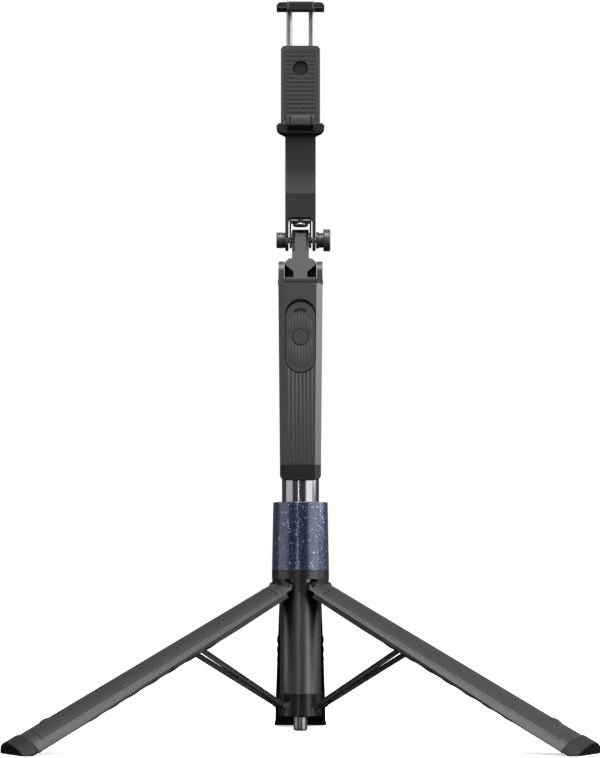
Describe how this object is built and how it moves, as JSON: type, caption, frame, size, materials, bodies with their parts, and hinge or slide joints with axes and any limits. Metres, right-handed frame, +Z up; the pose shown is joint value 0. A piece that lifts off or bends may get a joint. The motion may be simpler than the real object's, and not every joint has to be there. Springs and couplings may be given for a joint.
{
  "type": "selfie stick",
  "caption": "Telescopic phone stick with a tilting clamp head, a lift-off remote in the grip, and a folding three-leg base on hinged struts.",
  "frame": {"origin": "middle of the footprint on the floor", "axes": "+Z up along the stick, -Y towards the front where the remote and the phone face, +X to the right seen from the front"},
  "size_m": [0.3736, 0.3275, 0.4876],
  "materials": {
    "leg_shell": "satin moulded nylon",
    "leg_rubber": "fine grained rubber",
    "foot_rubber": "matte",
    "black_plastic": "semi gloss",
    "grip_plastic": "fine matte grain",
    "soft_pad": "ribbed rubber",
    "sparkle_sleeve": "navy metallic flake",
    "dark_tube": "dark chrome",
    "satin_metal": "satin",
    "steel": "brushed",
    "column_coat": "satin anodised",
    "circuit": "solder mask"
  },
  "bodies": {
    "hub": {"leg_hub": "black_plastic", "hub_sleeve": "sparkle_sleeve", "sleeve_ring": "black_plastic", "leg_pivot_pins": "steel", "base_tube": "dark_tube"},
    "tube_2": {"tube_2": "dark_tube"},
    "tube_3": {"tube_3": "dark_tube"},
    "tube_4": {"tube_4": "dark_tube"},
    "grip": {"tube_5": "dark_tube", "grip_plug": "black_plastic", "grip_front": "grip_plastic", "grip_rear": "grip_plastic", "grip_head": "grip_plastic", "grip_end_cap": "black_plastic", "grip_screws": "steel", "remote_magnets": "steel", "head_pin": "steel"},
    "remote": {"remote_base": "black_plastic", "remote_cover": "grip_plastic", "remote_board": "circuit", "remote_battery": "steel"},
    "button": {"remote_button": "black_plastic"},
    "head_link": {"head_link": "grip_plastic"},
    "arm": {"phone_arm": "grip_plastic", "arm_yoke": "steel", "yoke_rivet": "steel", "tilt_bolt": "steel", "bolt_cap": "black_plastic", "friction_washers": "black_plastic", "swivel_pin": "steel"},
    "knob": {"tilt_knob": "black_plastic"},
    "clamp": {"clamp_housing": "black_plastic", "clamp_pad": "soft_pad", "lower_jaw": "black_plastic", "lower_jaw_pad": "soft_pad"},
    "upper_jaw": {"upper_jaw": "black_plastic", "upper_jaw_pad": "soft_pad", "jaw_rods": "steel"},
    "column": {"column_tube": "column_coat", "strut_collar": "black_plastic", "centre_stub": "satin_metal", "collar_pins": "steel"},
    "leg_1": {"leg_1_shell": "leg_shell", "leg_1_panel": "leg_rubber", "leg_1_foot": "foot_rubber", "leg_1_pins": "steel"},
    "strut_1": {"strut_1": "grip_plastic"},
    "leg_2": {"leg_2_shell": "leg_shell", "leg_2_panel": "leg_rubber", "leg_2_foot": "foot_rubber", "leg_2_pins": "steel"},
    "strut_2": {"strut_2": "grip_plastic"},
    "leg_3": {"leg_3_shell": "leg_shell", "leg_3_panel": "leg_rubber", "leg_3_foot": "foot_rubber", "leg_3_pins": "steel"},
    "strut_3": {"strut_3": "grip_plastic"}
  },
  "joints": [
    {"name": "stage_2", "type": "slide", "parent": "hub", "child": "tube_2", "axis": [0, 0, 1], "range_m": [0, 0.19]},
    {"name": "stage_3", "type": "slide", "parent": "tube_2", "child": "tube_3", "axis": [0, 0, 1], "range_m": [0, 0.19]},
    {"name": "stage_4", "type": "slide", "parent": "tube_3", "child": "tube_4", "axis": [0, 0, 1], "range_m": [0, 0.19]},
    {"name": "stage_5", "type": "slide", "parent": "tube_4", "child": "grip", "axis": [0, 0, 1], "range_m": [-0.013, 0.19]},
    {"name": "remote_lift", "type": "slide", "parent": "grip", "child": "remote", "axis": [0, -1, 0], "range_m": [0, 0.012]},
    {"name": "button_press", "type": "slide", "parent": "remote", "child": "button", "axis": [0, 1, 0], "range_m": [0, 0.0006], "stiffness_N_per_m": 900},
    {"name": "head_fold", "type": "hinge", "parent": "grip", "child": "head_link", "pos_m": [0, -0.038, 0.3038], "axis": [-1, 0, 0], "range_deg": [0, 70]},
    {"name": "arm_tilt", "type": "hinge", "parent": "head_link", "child": "arm", "pos_m": [0, -0.024, 0.3334], "axis": [-1, 0, 0], "range_deg": [-70, 110]},
    {"name": "knob_turn", "type": "hinge", "parent": "arm", "child": "knob", "pos_m": [0.0177, -0.024, 0.3334], "axis": [1, 0, 0], "range_deg": [-180, 180]},
    {"name": "clamp_spin", "type": "hinge", "parent": "arm", "child": "clamp", "pos_m": [0, -0.046, 0.4452], "axis": [0, 1, 0], "range_deg": [-180, 180]},
    {"name": "jaw_slide", "type": "slide", "parent": "clamp", "child": "upper_jaw", "axis": [0, 0, 1], "range_m": [-0.017, 0.014]},
    {"name": "leg_1_fold", "type": "hinge", "parent": "hub", "child": "leg_1", "pos_m": [-0.01351, -0.0538, 0.103], "axis": [0.5, -0.866, 0], "range_deg": [0, 62]},
    {"name": "strut_1_fold", "type": "hinge", "parent": "leg_1", "child": "strut_1", "pos_m": [-0.07029, -0.08658, 0.06438], "axis": [0.5, -0.866, 0], "range_deg": [-124, 0]},
    {"name": "leg_2_fold", "type": "hinge", "parent": "hub", "child": "leg_2", "pos_m": [0.01351, -0.0538, 0.103], "axis": [0.5, 0.866, 0], "range_deg": [0, 62]},
    {"name": "strut_2_fold", "type": "hinge", "parent": "leg_2", "child": "strut_2", "pos_m": [0.07029, -0.08658, 0.06438], "axis": [0.5, 0.866, 0], "range_deg": [-124, 0]},
    {"name": "leg_3_fold", "type": "hinge", "parent": "hub", "child": "leg_3", "pos_m": [0, -0.0304, 0.103], "axis": [-1, 0, 0], "range_deg": [0, 62]},
    {"name": "strut_3_fold", "type": "hinge", "parent": "leg_3", "child": "strut_3", "pos_m": [0, 0.03517, 0.06438], "axis": [-1, 0, 0], "range_deg": [-124, 0]},
    {"name": "column_pivot", "type": "hinge", "parent": "strut_1", "child": "column", "pos_m": [-0.01351, -0.0538, 0.02575], "axis": [0.5, -0.866, 0], "range_deg": [0, 62]}
  ],
  "couplings": [
    {"joint": "leg_2_fold", "follows": "leg_1_fold", "ratio": 1},
    {"joint": "leg_3_fold", "follows": "leg_1_fold", "ratio": 1},
    {"joint": "strut_1_fold", "follows": "leg_1_fold", "ratio": -2},
    {"joint": "strut_2_fold", "follows": "leg_1_fold", "ratio": -2},
    {"joint": "strut_3_fold", "follows": "leg_1_fold", "ratio": -2},
    {"joint": "column_pivot", "follows": "leg_1_fold", "ratio": 1}
  ]
}
